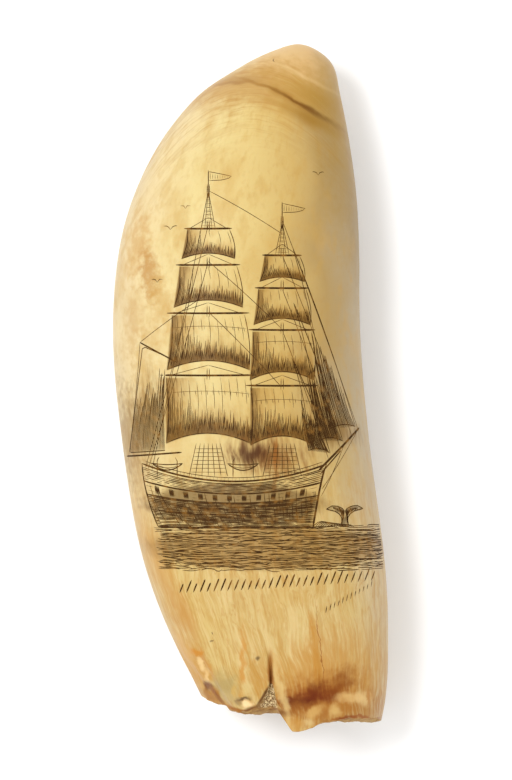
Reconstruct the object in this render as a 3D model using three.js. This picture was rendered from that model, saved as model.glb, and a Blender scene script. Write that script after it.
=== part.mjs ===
// A scrimshaw tooth: one sperm whale's tooth, cleaned and polished, lying on its side.
// Millimetres. +Y runs from the broken root to the tip, +X points to the hollow side of the curve, and +Z is up.
// The origin is on the surface that the tooth lies on, under the middle of its box.

import * as THREE from "three";

// The tooth's silhouette from above, and its depth. Each row is one section across the tooth, from the root to
// the tip: where the section meets the left and right edges, its depth as a share of its width, and how high
// its middle lies.
const SECTIONS = [
  { left: [-8.7, -72.9], right: [28.4, -78.9], depthShare: 0.86, middle: 18.4 },
  { left: [-12.6, -64.7], right: [30.4, -67.3], depthShare: 0.82, middle: 18.9 },
  { left: [-18.4, -52.9], right: [30.8, -55.6], depthShare: 0.78, middle: 19.4 },
  { left: [-24.4, -35.8], right: [30.1, -38.5], depthShare: 0.755, middle: 19.6 },
  { left: [-28.4, -11.4], right: [26.7, -13.2], depthShare: 0.75, middle: 19.7 },
  { left: [-30.4, 11.4], right: [24.6, 10.8], depthShare: 0.75, middle: 19.7 },
  { left: [-28.6, 33.0], right: [24.4, 30.3], depthShare: 0.77, middle: 19.4 },
  { left: [-22.2, 50.3], right: [23.7, 43.2], depthShare: 0.81, middle: 18.9 },
  { left: [-12.6, 63.6], right: [22.1, 55.1], depthShare: 0.86, middle: 18.4 },
  { left: [-2.9, 70.5], right: [20.2, 64.5], depthShare: 0.92, middle: 18.0 },
  { left: [4.7, 74.4], right: [18.2, 72.0], depthShare: 0.97, middle: 17.7 },
];
const TIP = { point: [11.8, 76.1], depthShare: 1, middle: 17.6 };
const SHOULDER = 0.035; // how much fuller than an oval a section is between its axes

// The broken rim of the root: how far it rises above the first section, going round from the right edge.
const RIM = [
  { degrees: 0, rise: 4.6 },
  { degrees: 30, rise: 5.4 },
  { degrees: 54, rise: 5.2 },
  { degrees: 70, rise: 3.7 },
  { degrees: 84, rise: 1.0 },
  { degrees: 91, rise: 0.3 },
  { degrees: 96, rise: 3.0 },
  { degrees: 99.5, rise: 5.9 },
  { degrees: 112, rise: 5.6 },
  { degrees: 120, rise: 3.9 },
  { degrees: 128, rise: 3.4 },
  { degrees: 138, rise: 4.2 },
  { degrees: 152, rise: 5.4 },
  { degrees: 172, rise: 6.3 },
  { degrees: 196, rise: 5.6 },
  { degrees: 222, rise: 4.4 },
  { degrees: 238, rise: 6.4 },
  { degrees: 250, rise: 6.8 },
  { degrees: 264, rise: 4.1 },
  { degrees: 286, rise: 3.6 },
  { degrees: 303, rise: 2.3 },
  { degrees: 330, rise: 3.9 },
];
const MEAN_RISE = RIM.reduce((sum, p) => sum + p.rise, 0) / RIM.length;

// The pulp cavity, a blunt cone that opens at the root.
const WALL_SHARE = 0.6; // the cavity's mouth as a share of the section's width
const CAVITY_DEPTH = 36;
const CAVITY_TAPER = 0.75; // under 1 for sides that bulge
const LIP_ROUND = 0.7; // how far the broken lip stands beyond its edges

// The cleft that splits the upper wall of the root: a narrow slit, leaning as it climbs, above a wide mouth.
const CLEFT = {
  degrees: { mouth: 106, top: 97.5 },
  length: 12,
  width: { mouth: 4.2, slit: 0.7 },
  mouthHeight: 5.4,
  depth: 2.2,
  foldHeight: 0.5,
};

// Where the wall has grown unevenly beside the cleft: the swollen lobe, and the furrow between it and the edge.
const LOBE = { degrees: 124, above: 4, radius: 9, height: 0.7 };
const FURROW = { degrees: [146, 172], above: [0, 14], radius: 4.8, depth: 0.7 };

// How finely the surface is divided. Columns crowd round the cleft, and rings crowd at the root and the tip.
const COLUMNS = 60;
const CROWDING = 0.55;
const ROOT_RINGS = 16;
const ROOT_SPAN = 0.095; // the share of the length that the root rings cover
const BODY_RINGS = 36;
const LIP_RINGS = [0.1, 0.35, 0.65, 0.9];
const CAVITY_RINGS = 17;

const IVORY = new THREE.MeshStandardMaterial({ color: 0xe8cf97, roughness: 0.42, metalness: 0 });

const { smoothstep, lerp, degToRad } = THREE.MathUtils;
const CLEFT_ANGLE = degToRad(CLEFT.degrees.mouth);
const STEPS = SECTIONS.length; // intervals between the first section and the tip

// The silhouette runs up the left edge, round the tip and down the right edge.
const silhouette = new THREE.CatmullRomCurve3(
  [
    ...SECTIONS.map((s) => s.left),
    TIP.point,
    ...SECTIONS.map((s) => s.right).reverse(),
  ].map(([x, y]) => new THREE.Vector3(x, y, 0)),
  false,
  "catmullrom",
  0.5,
);
const depths = new THREE.CatmullRomCurve3(
  [...SECTIONS, TIP].map((s) => new THREE.Vector3(s.depthShare, s.middle, 0)),
  false,
  "catmullrom",
  0.5,
);

// One section of the tooth, at a share u of the way from the first section to the tip.
function sectionAt(u) {
  const left = silhouette.getPoint(u / 2);
  const right = silhouette.getPoint(1 - u / 2);
  const { x: depthShare, y: middle } = depths.getPoint(u);
  const centre = left.clone().add(right).multiplyScalar(0.5);
  centre.z = middle;
  const half = right.clone().sub(left).multiplyScalar(0.5);
  return { centre, half, depth: half.length() * depthShare };
}

// From a section's centre to its outline at an angle: 0 is the right edge, a quarter turn is the top.
function spoke(section, angle) {
  const full = 1 + SHOULDER * Math.sin(2 * angle) ** 2;
  const across = section.half.clone().multiplyScalar(Math.cos(angle) * full);
  return across.setZ(section.depth * Math.sin(angle) * full);
}

// Millimetres along the tooth for one unit of u at the root.
const ROOT_SCALE = sectionAt(0).centre.distanceTo(sectionAt(2 / STEPS).centre) * (STEPS / 2);
const AXIS = sectionAt(2 / STEPS).centre.sub(sectionAt(0).centre).setZ(0).normalize();

// The rim's rise at an angle, eased from one listed point to the next.
function rimRise(angle) {
  const degrees = (THREE.MathUtils.radToDeg(angle) + 360) % 360;
  const next = RIM.findIndex((p) => p.degrees > degrees);
  const to = next < 0 ? { degrees: 360, rise: RIM[0].rise } : RIM[next];
  const from = RIM[(next < 0 ? RIM.length : next) - 1];
  const share = (degrees - from.degrees) / (to.degrees - from.degrees);
  return lerp(from.rise, to.rise, smoothstep(share, 0, 1));
}

// 1 on the spot, falling to 0 at the radius.
function fade(distance, radius) {
  return 1 - smoothstep(Math.abs(distance), 0, radius);
}

// The cleft's walls are columns of their own, so that its edges stay crisp.
const firstCleftColumn = Math.round((CLEFT_ANGLE / (2 * Math.PI)) * COLUMNS) - 2;
function columnAngle(column) {
  const offset = ((column - firstCleftColumn - 1.5) / COLUMNS) * 2 * Math.PI;
  return CLEFT_ANGLE + offset - CROWDING * Math.sin(offset);
}
const NATURAL_HALF_WIDTH = (columnAngle(firstCleftColumn + 3) - CLEFT_ANGLE) * SECTIONS[0].right[0] * 0.66;

// How open the cleft still is at a height above the rim: 1 at its mouth, 0 at its top and beyond.
function openness(above) {
  return Math.max(0, 1 - above / CLEFT.length);
}

function cleftHalfWidth(above) {
  const width = lerp(CLEFT.width.mouth, CLEFT.width.slit, Math.min(above / CLEFT.mouthHeight, 1));
  return lerp(width / 2, NATURAL_HALF_WIDTH, smoothstep(above, CLEFT.length, 1.9 * CLEFT.length));
}

// How far the cleft's four columns, and by less their neighbours, are drawn together at a height above the rim.
function drawnAngle(column, above) {
  const natural = columnAngle(column);
  const place = Math.abs(column - firstCleftColumn - 1.5);
  const pull = 1 - smoothstep(place, 1.6, 6);
  const share = lerp(1, cleftHalfWidth(above) / NATURAL_HALF_WIDTH, pull);
  const lean = degToRad(CLEFT.degrees.top - CLEFT.degrees.mouth) * (1 - openness(above) ** 1.3);
  return CLEFT_ANGLE + (natural - CLEFT_ANGLE) * share + lean * pull;
}

// Radial growth of the wall at an angle and a height above the rim.
function swelling(angle, above, radius) {
  const degrees = THREE.MathUtils.radToDeg(angle);
  const arc = (target) => degToRad(degrees - target) * radius;
  const lobe = LOBE.height * fade(Math.hypot(arc(LOBE.degrees), above - LOBE.above), LOBE.radius);
  const climb = THREE.MathUtils.clamp(above / FURROW.above[1], 0, 1);
  const furrowLine = lerp(...FURROW.degrees, climb);
  const furrow = FURROW.depth * fade(arc(furrowLine), FURROW.radius) * (1 - smoothstep(climb, 0.6, 1));
  return lobe - furrow;
}

// A point of the outer surface: along runs from 0 at the rim to 1 at the tip.
function outerPoint(column, along) {
  const rimU = rimRise(drawnAngle(column, 0)) / ROOT_SCALE;
  const u = lerp(rimU, 1, along);
  const above = (u - rimU) * ROOT_SCALE;
  const angle = drawnAngle(column, above);
  const section = sectionAt(u);
  const out = spoke(section, angle);
  const radius = out.length();
  const inCleft = column === firstCleftColumn + 1 || column === firstCleftColumn + 2;
  const onFold = column === firstCleftColumn ? CLEFT.foldHeight * fade(above, CLEFT.length) : 0;
  const grown = inCleft ? -CLEFT.depth * openness(above) ** 0.8 : onFold + swelling(angle, above, radius);
  out.setLength(radius + grown * smoothstep(1 - along, 0, 0.2));
  return section.centre.add(out);
}

// A point of the lip or the cavity: scale draws it in from the rim, and into is how deep it lies.
function innerPoint(column, scale, into, evenness, proud) {
  const angle = drawnAngle(column, 0);
  const rise = lerp(rimRise(angle), MEAN_RISE, evenness);
  const section = sectionAt((rise + into) / ROOT_SCALE);
  return section.centre.add(spoke(section, angle).multiplyScalar(scale)).addScaledVector(AXIS, -proud);
}

function lipPoint(column, share) {
  const angle = drawnAngle(column, 0);
  const section = sectionAt(rimRise(angle) / ROOT_SCALE);
  const rimScale = outerPoint(column, 0).sub(section.centre).length() / spoke(section, angle).length();
  const proud = LIP_ROUND * Math.sin(Math.PI * share) * smoothstep(rimScale, 0.7, 0.95);
  return innerPoint(column, lerp(rimScale, WALL_SHARE, share), 0, share, proud);
}

function cavityPoint(column, share) {
  const scale = WALL_SHARE * (1 - share) ** CAVITY_TAPER;
  return innerPoint(column, scale, CAVITY_DEPTH * share, 1, 0);
}

// Shares of the outer surface's length at which its rings lie, from the rim towards the tip.
function ringShares() {
  const root = Array.from({ length: ROOT_RINGS }, (_, i) => (ROOT_SPAN * i) / ROOT_RINGS);
  const body = Array.from({ length: BODY_RINGS }, (_, i) => {
    const t = i / BODY_RINGS;
    return lerp(ROOT_SPAN, 1, 0.45 * t + 0.55 * (t * (2 - t)));
  });
  return [...root, ...body];
}

// Every ring from the tip down the outside, over the lip and up the cavity.
function rings() {
  const outer = ringShares().reverse().map((share) => (column) => outerPoint(column, share));
  const lip = LIP_RINGS.map((share) => (column) => lipPoint(column, share));
  const cavity = Array.from({ length: CAVITY_RINGS }, (_, i) => (column) => cavityPoint(column, i / CAVITY_RINGS));
  return [...outer, ...lip, ...cavity];
}

// A closed skin of four-sided faces between the rings, with a fan of triangles at each end.
function toothGeometry() {
  const made = rings().map((point) => Array.from({ length: COLUMNS }, (_, column) => point(column)));
  const tip = new THREE.Vector3(...TIP.point, TIP.middle);
  const cavityEnd = sectionAt((MEAN_RISE + CAVITY_DEPTH) / ROOT_SCALE).centre;
  const points = [...made.flat(), tip, cavityEnd];
  const corner = (ring, column) => ring * COLUMNS + (column % COLUMNS);
  const [tipIndex, endIndex] = [points.length - 2, points.length - 1];
  const faces = [];
  for (let column = 0; column < COLUMNS; column++) {
    faces.push(tipIndex, corner(0, column + 1), corner(0, column));
    for (let ring = 0; ring + 1 < made.length; ring++) {
      const [a, b] = [corner(ring, column), corner(ring, column + 1)];
      const [c, d] = [corner(ring + 1, column + 1), corner(ring + 1, column)];
      faces.push(a, c, d, a, b, c);
    }
    faces.push(endIndex, corner(made.length - 1, column), corner(made.length - 1, column + 1));
  }
  // The belly is rubbed flat where the tooth rests.
  for (const p of points) p.z = Math.max(p.z, 0);
  const geometry = new THREE.BufferGeometry().setFromPoints(points).setIndex(faces);
  geometry.computeVertexNormals();
  return geometry;
}

const tooth = new THREE.Mesh(toothGeometry(), IVORY);
tooth.name = "tooth";
tooth.geometry.computeBoundingBox();
const middle = tooth.geometry.boundingBox.getCenter(new THREE.Vector3());
tooth.position.set(-middle.x, -middle.y, 0);

const scrimshaw = new THREE.Group();
scrimshaw.add(tooth);

export default scrimshaw;
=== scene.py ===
"""A scrimshaw tooth: a sperm whale's tooth, polished, engraved with a ship under sail and rubbed with ink."""

import math

import bmesh
import bpy
import numpy as np
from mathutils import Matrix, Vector, noise
from mathutils.bvhtree import BVHTree


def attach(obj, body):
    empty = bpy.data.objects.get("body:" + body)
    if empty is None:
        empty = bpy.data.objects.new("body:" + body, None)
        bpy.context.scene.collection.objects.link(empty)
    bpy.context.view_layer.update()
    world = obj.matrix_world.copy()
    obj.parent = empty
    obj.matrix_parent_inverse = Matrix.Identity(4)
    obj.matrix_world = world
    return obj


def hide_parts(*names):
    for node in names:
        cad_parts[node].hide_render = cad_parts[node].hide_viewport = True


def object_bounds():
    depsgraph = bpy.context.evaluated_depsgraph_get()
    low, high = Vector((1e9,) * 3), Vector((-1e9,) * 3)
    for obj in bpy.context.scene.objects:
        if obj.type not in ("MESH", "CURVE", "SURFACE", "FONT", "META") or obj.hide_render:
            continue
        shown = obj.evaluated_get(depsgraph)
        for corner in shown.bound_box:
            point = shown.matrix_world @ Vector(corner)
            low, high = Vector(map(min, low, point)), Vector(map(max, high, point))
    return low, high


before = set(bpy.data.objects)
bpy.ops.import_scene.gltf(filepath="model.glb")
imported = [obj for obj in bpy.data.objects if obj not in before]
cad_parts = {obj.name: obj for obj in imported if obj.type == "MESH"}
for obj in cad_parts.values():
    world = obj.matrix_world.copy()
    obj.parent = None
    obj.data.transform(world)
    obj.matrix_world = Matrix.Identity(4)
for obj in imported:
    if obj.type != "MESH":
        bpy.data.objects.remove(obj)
cad_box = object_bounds()

# ---------------------------------------------------------------------------------------------------------
# Camera. It looks straight down on the engraved face, from far enough off that the tooth looks flat, with the
# tip up. Its view is 173 mm high where the tooth is widest.
# ---------------------------------------------------------------------------------------------------------
MM = 0.001
VIEW_HEIGHT = 173.1 * MM
WIDEST_AT = 19 * MM
STAND_OFF = 1.1

camera = bpy.data.objects.new("camera", bpy.data.cameras.new("camera"))
camera.data.sensor_fit = "VERTICAL"
camera.data.sensor_height = 24
camera.data.lens = camera.data.sensor_height * STAND_OFF / VIEW_HEIGHT
camera.location = (1.2 * MM, -1.0 * MM, WIDEST_AT + STAND_OFF)
bpy.context.scene.collection.objects.link(camera)
bpy.context.scene.camera = camera

# ---------------------------------------------------------------------------------------------------------
# The tooth. It is solid dentine under a thin coat of cementum, scraped and polished, and hollow at the root,
# where it was broken out of the jaw. A cleft splits the root's upper wall, and the wall beside the cleft has
# grown into a swollen lobe. Places on it are in millimetres, x and y, seen from above.
# ---------------------------------------------------------------------------------------------------------
SHARP_FROM = math.radians(28)
SHARP_FULL = math.radians(70)
CREASE_HARDNESS = 0.85


def ease(value, start, end):
    """0 at start, 1 at end, and a smooth step between them."""
    share = np.clip((np.asarray(value, float) - start) / (end - start), 0, 1)
    return share * share * (3 - 2 * share)


def fine_copy(node, levels):
    """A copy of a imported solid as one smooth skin: its triangles are paired, creased and subdivided."""
    skin = bmesh.new()
    skin.from_mesh(node.data)
    bmesh.ops.remove_doubles(skin, verts=skin.verts, dist=1e-6)
    bmesh.ops.join_triangles(skin, faces=skin.faces, angle_face_threshold=3, angle_shape_threshold=3)
    crease = skin.edges.layers.float.new("crease_edge")
    for edge in skin.edges:
        edge[crease] = CREASE_HARDNESS * float(ease(edge.calc_face_angle(0), SHARP_FROM, SHARP_FULL))
    coarse = bpy.data.meshes.new("coarse_skin")
    skin.to_mesh(coarse)
    skin.free()
    holder = bpy.data.objects.new("coarse_skin", coarse)
    bpy.context.scene.collection.objects.link(holder)
    holder.modifiers.new("smooth", "SUBSURF").levels = levels
    smooth = holder.evaluated_get(bpy.context.evaluated_depsgraph_get())
    mesh = bpy.data.meshes.new_from_object(smooth)
    bpy.data.objects.remove(holder)
    bpy.data.meshes.remove(coarse)
    return mesh


def per_point(collection, name):
    """A vector that each point of a mesh has, as rows."""
    values = np.empty(len(collection) * 3)
    collection.foreach_get(name, values)
    return values.reshape(-1, 3)


def along_line(points, start, end, radius):
    """1 on the line from start to end, as seen from above, falling to 0 at the radius."""
    start, end = np.array(start, float), np.array(end, float)
    span = end - start
    share = np.clip((points[:, :2] - start) @ span / max(span @ span, 1e-9), 0, 1)
    away = np.linalg.norm(points[:, :2] - start - share[:, None] * span, axis=1)
    return 1 - ease(away, 0, radius)


def rough(points, grain):
    """Smooth noise from -1 to 1 at each point, with lumps about as large as grain, in each direction."""
    return np.array([noise.noise(Vector(row)) for row in points / np.array(grain)])


def pebbles(points, size):
    """Rounded grains about as large as size: 0 between them and 1 on top."""
    nearest = [noise.voronoi(Vector(row))[0][0] for row in points / size]
    return 1 - ease(nearest, 0, 0.6)


tooth_mesh = fine_copy(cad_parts["tooth"], levels=2)
points = per_point(tooth_mesh.vertices, "co") / MM
outward = per_point(tooth_mesh.vertex_normals, "vector")

# The tooth's middle line and half width at each height, from which the grain takes its direction.
SLICE_HALF = 2.2
steps = np.linspace(-72, 75, 50)
slices = [points[np.abs(points[:, 1] - y) < SLICE_HALF] for y in steps]
left_edge = np.array([s[:, 0].min() for s in slices])
right_edge = np.array([s[:, 0].max() for s in slices])
middle = np.interp(points[:, 1], steps, (left_edge + right_edge) / 2)
half_width = np.interp(points[:, 1], steps, (right_edge - left_edge) / 2)
MIDDLE_HEIGHT = 19.3
FULL_HALF_WIDTH = 27.0
unrolled = np.column_stack([
    (points[:, 0] - middle) / half_width * FULL_HALF_WIDTH,
    points[:, 1],
    (points[:, 2] - MIDDLE_HEIGHT) / half_width * FULL_HALF_WIDTH,
])

# The broken end: the hollow, and the torn lip round it.
OVAL = 0.78
HOLLOW_EDGE = (0.66, 0.74)
HOLLOW_END = (-36, -30)
spread = np.hypot(unrolled[:, 0], unrolled[:, 2] / OVAL) / FULL_HALF_WIDTH
hollow = (1 - ease(spread, *HOLLOW_EDGE)) * (1 - ease(points[:, 1], *HOLLOW_END))
lip = ease(-outward[:, 1], 0.35, 0.8) * (1 - ease(points[:, 1], -68, -64)) * (1 - hollow)

on_top = ease(points[:, 2], 17, 27)
near_root = 1 - ease(points[:, 1], -62, -30)

# The mouth of the cleft is a triangle filled with grit, its point up, between the lobe and the right wall.
CLEFT_X = 4.65
CLEFT_Y = -65.2
CLEFT_LEAN = 0.13
CLEFT_SPREAD = 0.36
below_point = np.clip(CLEFT_Y - points[:, 1], 0, 6)
from_cleft = np.abs(points[:, 0] - CLEFT_X + CLEFT_LEAN * below_point) / (0.2 + CLEFT_SPREAD * below_point)
in_cleft = (1 - ease(from_cleft, 0.8, 1.05)) * (below_point > 0) * ease(points[:, 2], 30, 31) * (1 - hollow)
in_cleft *= 1 - ease(points[:, 1], -70.2, -70.8)

relief = 0.05 * rough(points, (9, 12, 9))
relief += 0.06 * near_root * rough(unrolled, (1.6, 22, 1.6))
relief += 0.05 * near_root * on_top * rough(points, (2.2, 5, 2.2))
# Ridges and furrows of the upper side: how high each stands, from where, to where, and its half width.
for rise, ridge_start, ridge_end, ridge_half in (
    (0.45, (-1.9, -58), (-1.9, -65.5), 6.8), (-0.6, (-11.3, -60.5), (-5.4, -70.3), 1.5),
    (0.28, (-12.4, -58.6), (-10.4, -62.2), 1.2), (0.2, (-9.8, -63.4), (-9.0, -65.2), 0.9),
    (-0.3, (-9.6, -65.9), (-8.6, -67.2), 1.1), (0.22, (-1.2, -65), (-0.9, -67.4), 1.3),
    (-0.35, (-2.1, -68.8), (-0.6, -69.2), 0.8), (0.25, (-1.8, -70), (-0.3, -69.9), 0.9),
    (-0.07, (2.5, 66.0), (18, 57.4), 1.3), (-0.12, (15.0, -56), (15.7, -64.5), 0.7),
):
    relief += rise * on_top * along_line(points, ridge_start, ridge_end, ridge_half)
relief += 0.16 * lip * rough(points, (1.1, 1.1, 1.1))
relief += 0.3 * hollow * rough(points, (3.5, 9, 3.5))
relief += 0.42 * in_cleft * (pebbles(points, 0.75) - 0.3)
relief *= ease(points[:, 2], 0.2, 3)
chips = 0.28 * (1 - ease(points[:, 1], -74, -66)) * rough(points, (1.9, 1.9, 1.9)) * ease(points[:, 2], 1, 4)
points += outward * relief[:, None]
points[:, 1] += chips

# The ivory keeps just under the solid's top, which leaves room for the ink.
INK_ROOM = 0.03
low_corner, high_corner = (np.array(corner) / MM for corner in cad_box)
points = np.clip(points, low_corner, high_corner - (0, 0, INK_ROOM))
tooth_mesh.vertices.foreach_set("co", (points * MM).ravel())
for polygon in tooth_mesh.polygons:
    polygon.use_smooth = True


def keep_value(mesh, name, values):
    """Stores a number, or a vector, for each point of a mesh, for its material to read."""
    kind = "FLOAT" if values.ndim == 1 else "FLOAT_VECTOR"
    field = "value" if values.ndim == 1 else "vector"
    mesh.attributes.new(name, kind, "POINT").data.foreach_set(field, values.astype(np.float32).ravel())


keep_value(tooth_mesh, "unrolled", unrolled)
keep_value(tooth_mesh, "hollow", hollow)
keep_value(tooth_mesh, "lip", lip * (1 - in_cleft))
keep_value(tooth_mesh, "grit", in_cleft)

tooth = bpy.data.objects.new("tooth_ivory", tooth_mesh)
bpy.context.scene.collection.objects.link(tooth)


def put(tree, kind, inputs, **settings):
    """Adds a shader node to a tree, with its settings, and its inputs set or linked by name or number."""
    made = tree.nodes.new("ShaderNode" + kind)
    for name, value in settings.items():
        setattr(made, name, value)
    for key, value in inputs.items():
        if isinstance(value, bpy.types.NodeSocket):
            tree.links.new(value, made.inputs[key])
        else:
            made.inputs[key].default_value = value
    return made


def calculate(tree, operation, first, second=0.0, third=0.0):
    return put(tree, "Math", {0: first, 1: second, 2: third}, operation=operation).outputs[0]


def mix(tree, share, under, over):
    made = put(tree, "Mix", {0: share, 6: under, 7: over}, data_type="RGBA", clamp_factor=True)
    return made.outputs[2]


def ramp_between(tree, value, start, end):
    """0 before start and 1 after end, smoothly."""
    inputs = {"Value": value, "From Min": start, "From Max": end}
    return put(tree, "MapRange", inputs, interpolation_type="SMOOTHSTEP").outputs["Result"]


def cloud(tree, place, size, detail=3.0, stretch=(1, 1, 1)):
    """Noise from 0 to 1 with lumps about size millimetres across, drawn out by stretch."""
    scale = [1 / (size * s) for s in stretch]
    scaled = put(tree, "VectorMath", {0: place, 1: scale}, operation="MULTIPLY").outputs[0]
    return put(tree, "TexNoise", {"Vector": scaled, "Scale": 1.0, "Detail": detail}).outputs["Fac"]


def shader_group(name, inputs, outputs):
    """An empty shader node group. Inputs and outputs are (socket kind, name) pairs."""
    tree = bpy.data.node_groups.new(name, "ShaderNodeTree")
    for kind, label in inputs:
        tree.interface.new_socket(label, in_out="INPUT", socket_type="NodeSocket" + kind)
    for kind, label in outputs:
        tree.interface.new_socket(label, in_out="OUTPUT", socket_type="NodeSocket" + kind)
    return tree, tree.nodes.new("NodeGroupInput"), tree.nodes.new("NodeGroupOutput")


def linear(red, green, blue):
    """A shader colour from red, green and blue as a paint chart gives them, 0 to 255."""
    shares = np.array([red, green, blue]) / 255
    return tuple(np.where(shares < 0.04, shares / 12.92, ((shares + 0.055) / 1.055) ** 2.4)) + (1.0,)


# A stain's shape: an oval on the upper side, turned, with a soft and ragged edge.
stain_shape, given, result = shader_group(
    "stain shape",
    [("Vector", "Place"), ("Vector", "Middle"), ("Vector", "Reach"), ("Float", "Turn"),
     ("Float", "Softness"), ("Float", "Raggedness"), ("Float", "Breakup")],
    [("Float", "Share")],
)
offset = put(stain_shape, "VectorMath", {0: given.outputs["Place"], 1: given.outputs["Middle"]},
             operation="SUBTRACT").outputs[0]
flat = put(stain_shape, "VectorMath", {0: offset, 1: (1, 1, 0)}, operation="MULTIPLY").outputs[0]
back = calculate(stain_shape, "MULTIPLY", given.outputs["Turn"], -1)
turned = put(stain_shape, "VectorRotate", {"Vector": flat, "Angle": back}, rotation_type="Z_AXIS").outputs[0]
scaled = put(stain_shape, "VectorMath", {0: turned, 1: given.outputs["Reach"]}, operation="DIVIDE").outputs[0]
distance = put(stain_shape, "VectorMath", {0: scaled}, operation="LENGTH").outputs["Value"]
torn = calculate(stain_shape, "MULTIPLY_ADD", given.outputs["Breakup"], given.outputs["Raggedness"], distance)
inner = calculate(stain_shape, "SUBTRACT", 1, given.outputs["Softness"])
outer = calculate(stain_shape, "ADD", 1, given.outputs["Softness"])
outside = ramp_between(stain_shape, torn, inner, outer)
height = put(stain_shape, "SeparateXYZ", {0: given.outputs["Place"]}).outputs["Z"]
upper = ramp_between(stain_shape, height, 9, 17)
covered = calculate(stain_shape, "MULTIPLY", calculate(stain_shape, "SUBTRACT", 1, outside), upper)
stain_shape.links.new(covered, result.inputs["Share"])


def wander(tree, place, size, by):
    """Shifts a place to and fro, so that what is drawn there gets an uneven edge."""
    scaled = put(tree, "VectorMath", {0: place, 1: (1 / size,) * 3}, operation="MULTIPLY").outputs[0]
    drift = put(tree, "TexNoise", {"Vector": scaled, "Scale": 1.0, "Detail": 2.0}).outputs["Color"]
    centred = put(tree, "VectorMath", {0: drift, 1: (0.5, 0.5, 0.5)}, operation="SUBTRACT").outputs[0]
    return put(tree, "VectorMath", {0: centred, 1: by, 2: place}, operation="MULTIPLY_ADD").outputs[0]


def colour_ramp(tree, value, stops):
    """A row of colours, each at its place from 0 to 1."""
    made = put(tree, "ValToRGB", {"Fac": value})
    ramp = made.color_ramp
    while len(ramp.elements) < len(stops):
        ramp.elements.new(1.0)
    for element, (position, colour) in zip(ramp.elements, stops):
        element.position = position
        element.color = colour
    return made.outputs["Color"]


ivory = bpy.data.materials.new("polished_ivory")
ivory.use_nodes = True
tree = ivory.node_tree
shader = tree.nodes["Principled BSDF"]
place = put(tree, "VectorMath", {0: put(tree, "TexCoord", {}).outputs["Object"], 3: 1 / MM},
            operation="SCALE").outputs[0]
grain_place = put(tree, "Attribute", {}, attribute_name="unrolled").outputs["Vector"]
in_hollow = put(tree, "Attribute", {}, attribute_name="hollow").outputs["Fac"]
on_lip = put(tree, "Attribute", {}, attribute_name="lip").outputs["Fac"]
in_grit = put(tree, "Attribute", {}, attribute_name="grit").outputs["Fac"]
across, along, _ = put(tree, "SeparateXYZ", {0: grain_place}).outputs
x_place, y_place, z_place = put(tree, "SeparateXYZ", {0: place}).outputs

# The ivory's own colour changes from side to side, and again towards the root.
drifting = cloud(tree, place, 14, detail=4)
side = calculate(tree, "MULTIPLY_ADD", drifting, 12, across)
side = put(tree, "MapRange", {"Value": side, "From Min": -21, "From Max": 33}).outputs["Result"]
crown = colour_ramp(tree, side, [
    (0.0, linear(198, 178, 136)), (0.1, linear(204, 184, 138)), (0.3, linear(202, 183, 126)),
    (0.5, linear(196, 172, 110)), (0.68, linear(184, 155, 92)), (0.84, linear(162, 134, 82)),
    (1.0, linear(164, 149, 122)),
])
root = colour_ramp(tree, side, [
    (0.0, linear(190, 166, 120)), (0.12, linear(192, 166, 104)), (0.35, linear(188, 162, 104)),
    (0.6, linear(190, 164, 106)), (0.82, linear(192, 168, 112)), (1.0, linear(184, 162, 126)),
])
down = ramp_between(tree, calculate(tree, "MULTIPLY_ADD", drifting, 16, along), 18, -42)
colour = mix(tree, down, crown, root)

# Clouds of honey colour in the polish, in lumps of three sizes.
for size, low, share, tint in ((8, 0.48, 0.42, (180, 142, 70)), (2.8, 0.5, 0.34, (176, 138, 66)),
                               (0.9, 0.5, 0.16, (164, 124, 60))):
    honey = ramp_between(tree, cloud(tree, grain_place, size, detail=5, stretch=(1, 1.8, 1)), low, 0.7)
    colour = mix(tree, calculate(tree, "MULTIPLY", honey, share), colour, linear(*tint))

# The growth fibres, which show towards the root: pale and tan bands, and thin wavy lines of orange brown.
fibre_place = wander(tree, wander(tree, grain_place, 12, (4.0, 0, 4.0)), 5, (0.7, 0, 0.7))
fibres = cloud(tree, fibre_place, 0.62, detail=3, stretch=(1, 20, 1))
bands = cloud(tree, fibre_place, 2.2, detail=4, stretch=(1, 11, 1))
low_down = ramp_between(tree, along, -4, -50)


def lined(under, where, rows):
    """Draws lines of grain: each row is a share, a value, where its line starts and is full, and a tint."""
    for share, value, start, end, tint in rows:
        strength = calculate(tree, "MULTIPLY", ramp_between(tree, value, start, end), share)
        under = mix(tree, calculate(tree, "MULTIPLY", strength, where), under, linear(*tint))
    return under


colour = lined(colour, low_down, (
    (0.5, bands, 0.48, 0.68, (172, 130, 58)), (0.35, bands, 0.46, 0.3, (204, 180, 128)),
    (0.42, fibres, 0.5, 0.68, (166, 122, 52)), (0.35, fibres, 0.46, 0.32, (206, 182, 130)),
))
ridge_line = calculate(tree, "ABSOLUTE", calculate(tree, "SUBTRACT", bands, 0.5))
ridge_line = calculate(tree, "MULTIPLY", ramp_between(tree, ridge_line, 0.022, 0.006), low_down)
colour = mix(tree, calculate(tree, "MULTIPLY", ridge_line, 0.28), colour, linear(164, 112, 44))

mottle = calculate(tree, "SUBTRACT", cloud(tree, place, 1.7, detail=5), 0.5)
streaky = calculate(tree, "SUBTRACT", cloud(tree, fibre_place, 0.7, detail=4, stretch=(1, 8, 1)), 0.5)
near_place = wander(tree, place, 4.0, (1.2, 1.2, 0))
stain_place = wander(tree, wander(tree, place, 4.0, (2.4, 2.4, 0)), 1.1, (0.9, 0.9, 0))


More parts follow.
